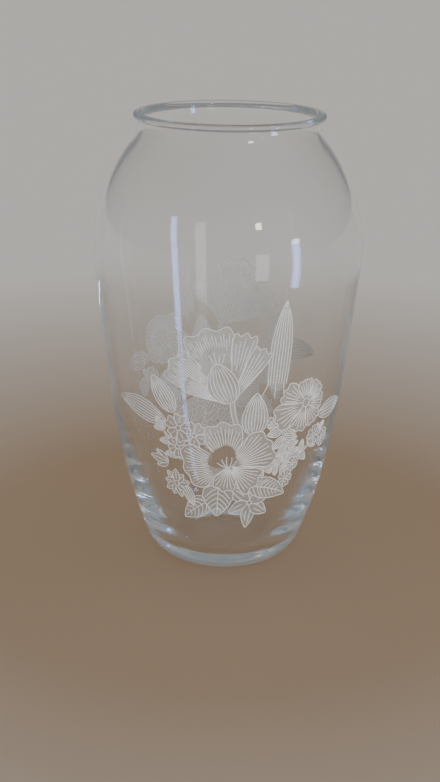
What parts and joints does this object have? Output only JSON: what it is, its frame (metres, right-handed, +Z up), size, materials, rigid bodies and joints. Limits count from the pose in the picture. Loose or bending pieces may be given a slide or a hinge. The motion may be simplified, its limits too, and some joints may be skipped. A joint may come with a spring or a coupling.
{
  "type": "glass flower vase",
  "caption": "Clear glass flower vase with a rounded shoulder, short neck and rolled lip, and a white printed bouquet on the front and the back.",
  "frame": {"origin": "centre of the foot, on the surface that the vase stands on", "axes": "+Z up along the vase's axis, towards the mouth; -Y is the printed front, +Y the printed back, +X to the right of the front"},
  "size_m": [0.116, 0.116, 0.2],
  "materials": {
    "clear_glass": "clear soda-lime glass, fire polished, faintly green where it is thick",
    "white_enamel": "white satin enamel, screen printed and fired on, drawn in fine lines"
  },
  "bodies": {
    "root": {"glass_body": "clear_glass", "back_blade_leaf": "white_enamel", "back_bud": "white_enamel", "back_centre_veined_leaf": "white_enamel", "back_cup_flower": "white_enamel", "back_daisy": "white_enamel", "back_edge_spray": "white_enamel", "back_flower_stem": "white_enamel", "back_left_spray": "white_enamel", "back_left_veined_leaf": "white_enamel", "back_long_leaf": "white_enamel", "back_low_spray": "white_enamel", "back_narrow_leaf": "white_enamel", "back_open_flower": "white_enamel", "back_right_leaf": "white_enamel", "back_right_spray": "white_enamel", "back_short_leaf": "white_enamel", "back_side_flower": "white_enamel", "back_small_bud": "white_enamel", "back_star_flower": "white_enamel", "back_striped_leaf": "white_enamel", "front_blade_leaf": "white_enamel", "front_bud": "white_enamel", "front_centre_veined_leaf": "white_enamel", "front_cup_flower": "white_enamel", "front_daisy": "white_enamel", "front_edge_spray": "white_enamel", "front_flower_stem": "white_enamel", "front_left_spray": "white_enamel", "front_left_veined_leaf": "white_enamel", "front_long_leaf": "white_enamel", "front_low_spray": "white_enamel", "front_narrow_leaf": "white_enamel", "front_open_flower": "white_enamel", "front_right_leaf": "white_enamel", "front_right_spray": "white_enamel", "front_short_leaf": "white_enamel", "front_side_flower": "white_enamel", "front_small_bud": "white_enamel", "front_star_flower": "white_enamel", "front_striped_leaf": "white_enamel"}
  },
  "joints": []
}
